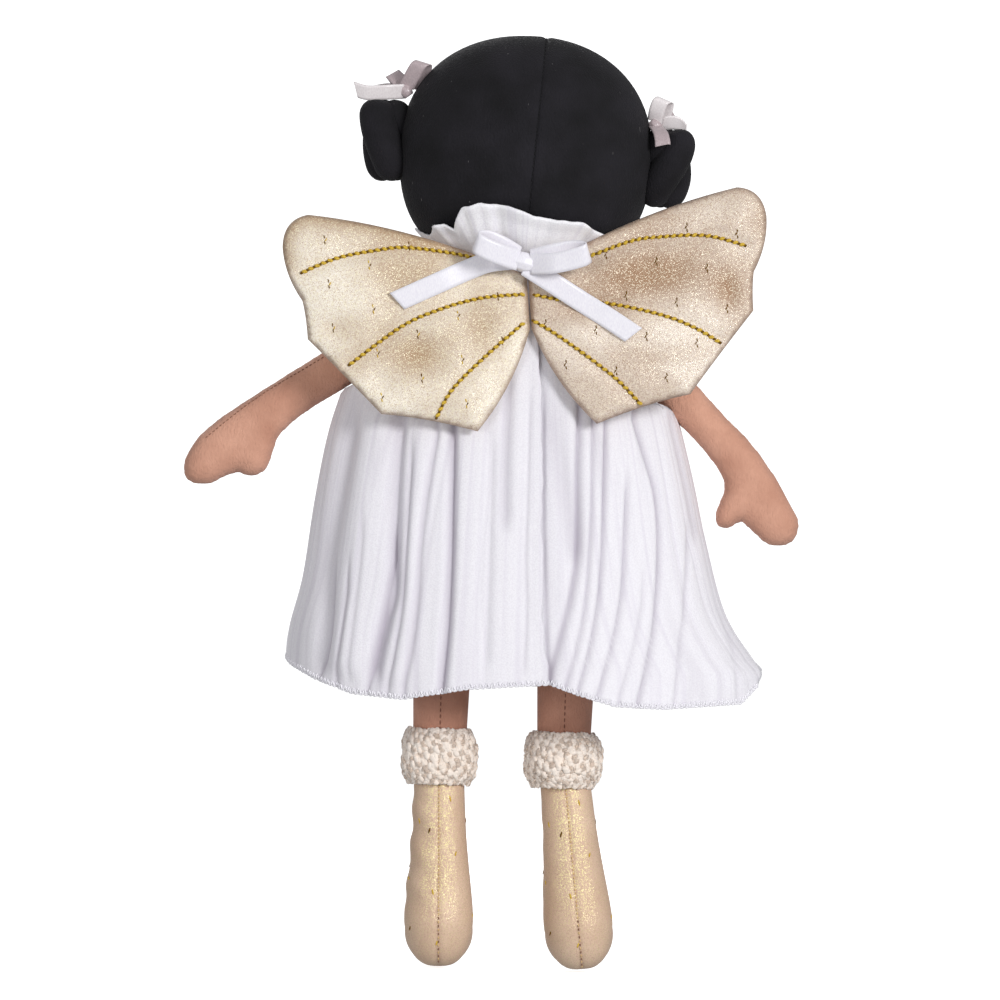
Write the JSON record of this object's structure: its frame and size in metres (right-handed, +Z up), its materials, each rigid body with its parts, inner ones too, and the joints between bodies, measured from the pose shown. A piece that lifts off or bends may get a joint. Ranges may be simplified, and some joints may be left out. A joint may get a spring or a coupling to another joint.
{
  "type": "plush doll",
  "caption": "Stuffed cloth doll with padded butterfly wings, gathered gauze dress, twisted hair buns, ribbon bows and fleece-cuffed boots, for hugging and pretend play.",
  "frame": {"origin": "middle of the bounding box at the floor, under the soles of the boots", "axes": "+Z up from the soles to the head, +X to the doll's left, the doll faces -Y"},
  "size_m": [0.2284, 0.1084, 0.349],
  "materials": {
    "skin": "brown cotton jersey",
    "hair": "black cotton jersey",
    "gauze": "white crinkled double gauze",
    "sparkle": "champagne sparkle cloth",
    "wadding": "white polyester wadding",
    "boot": "peach-gold sparkle cloth",
    "fleece": "cream short-pile fleece",
    "white_ribbon": "white satin ribbon",
    "grey_ribbon": "grey satin ribbon"
  },
  "bodies": {
    "torso": {"torso": "skin", "dress_front_panel": "gauze", "dress_back_left_panel": "gauze", "dress_back_right_panel": "gauze", "neck_band": "gauze", "neck_ruffle": "gauze", "nape_bow_knot": "white_ribbon"},
    "neck": {"neck": "skin"},
    "head": {"head_core": "skin", "left_hair_panel": "hair", "left_bun": "hair", "left_hair_bow_knot": "grey_ribbon", "left_hair_loop_1": "grey_ribbon", "left_hair_loop_2": "grey_ribbon", "left_hair_tail_1": "grey_ribbon", "left_hair_tail_2": "grey_ribbon", "right_hair_panel": "hair", "right_bun": "hair", "right_hair_bow_knot": "grey_ribbon", "right_hair_loop_1": "grey_ribbon", "right_hair_loop_2": "grey_ribbon", "right_hair_tail_1": "grey_ribbon", "right_hair_tail_2": "grey_ribbon"},
    "hips": {"hip_flap": "skin"},
    "left_shoulder": {"left_shoulder_flap": "skin"},
    "left_arm": {"left_arm": "skin"},
    "left_leg": {"left_leg": "skin", "left_boot": "boot", "left_cuff": "fleece"},
    "left_wing": {"left_wing_back_cover": "sparkle", "left_wing_wadding": "wadding", "left_wing_front_cover": "sparkle", "left_nape_loop": "white_ribbon", "left_nape_tail": "white_ribbon"},
    "right_shoulder": {"right_shoulder_flap": "skin"},
    "right_arm": {"right_arm": "skin"},
    "right_leg": {"right_leg": "skin", "right_boot": "boot", "right_cuff": "fleece"},
    "right_wing": {"right_wing_back_cover": "sparkle", "right_wing_wadding": "wadding", "right_wing_front_cover": "sparkle", "right_nape_loop": "white_ribbon", "right_nape_tail": "white_ribbon"}
  },
  "joints": [
    {"name": "neck_turn", "type": "hinge", "parent": "torso", "child": "neck", "pos_m": [-0.00696, 0.0006, 0.25665], "axis": [0, 0, 1], "range_deg": [-20, 20], "stiffness_Nm_per_rad": 0.2, "deforming": ["neck_ruffle"]},
    {"name": "head_nod", "type": "hinge", "parent": "neck", "child": "head", "pos_m": [-0.00696, 0.0006, 0.264], "axis": [1, 0, 0], "range_deg": [-5, 15], "stiffness_Nm_per_rad": 0.4, "deforming": ["neck_ruffle", "neck"]},
    {"name": "sit", "type": "hinge", "parent": "torso", "child": "hips", "pos_m": [-0.00696, 0.0006, 0.1502], "axis": [-1, 0, 0], "range_deg": [-10, 70], "deforming": ["dress_front_panel", "dress_back_left_panel", "dress_back_right_panel"]},
    {"name": "left_arm_fold", "type": "hinge", "parent": "torso", "child": "left_shoulder", "pos_m": [0.02284, 0.0006, 0.246], "axis": [0, 0, -1], "range_deg": [-10, 40], "stiffness_Nm_per_rad": 0.04, "deforming": ["dress_front_panel", "dress_back_left_panel", "dress_back_right_panel"]},
    {"name": "left_arm_raise", "type": "hinge", "parent": "left_shoulder", "child": "left_arm", "pos_m": [0.02434, 0.0006, 0.246], "axis": [0, -1, 0], "range_deg": [-10, 50], "stiffness_Nm_per_rad": 0.04, "deforming": ["dress_front_panel", "dress_back_left_panel", "dress_back_right_panel"]},
    {"name": "left_leg_swing", "type": "hinge", "parent": "hips", "child": "left_leg", "pos_m": [0.01784, 0.0006, 0.1462], "axis": [-1, 0, 0], "range_deg": [-25, 25], "deforming": ["dress_front_panel", "dress_back_left_panel", "dress_back_right_panel"]},
    {"name": "left_wing_flap", "type": "hinge", "parent": "torso", "child": "left_wing", "pos_m": [-0.00896, 0.0299, 0.26], "axis": [0.0954, -0.099, 0.9905], "range_deg": [0, 45], "stiffness_Nm_per_rad": 0.05, "deforming": ["left_nape_loop", "left_nape_tail"]},
    {"name": "right_arm_fold", "type": "hinge", "parent": "torso", "child": "right_shoulder", "pos_m": [-0.03676, 0.0006, 0.246], "axis": [0, 0, 1], "range_deg": [-10, 40], "stiffness_Nm_per_rad": 0.04, "deforming": ["dress_front_panel", "dress_back_left_panel", "dress_back_right_panel"]},
    {"name": "right_arm_raise", "type": "hinge", "parent": "right_shoulder", "child": "right_arm", "pos_m": [-0.03826, 0.0006, 0.246], "axis": [0, 1, 0], "range_deg": [-5, 60], "stiffness_Nm_per_rad": 0.04, "deforming": ["dress_front_panel", "dress_back_left_panel", "dress_back_right_panel"]},
    {"name": "right_leg_swing", "type": "hinge", "parent": "hips", "child": "right_leg", "pos_m": [-0.02816, 0.0006, 0.1462], "axis": [-1, 0, 0], "range_deg": [-25, 25], "deforming": ["dress_front_panel", "dress_back_left_panel", "dress_back_right_panel"]},
    {"name": "right_wing_flap", "type": "hinge", "parent": "torso", "child": "right_wing", "pos_m": [-0.00896, 0.0299, 0.26], "axis": [-0.0954, 0.099, -0.9905], "range_deg": [0, 45], "stiffness_Nm_per_rad": 0.05, "deforming": ["right_nape_loop", "right_nape_tail"]}
  ]
}
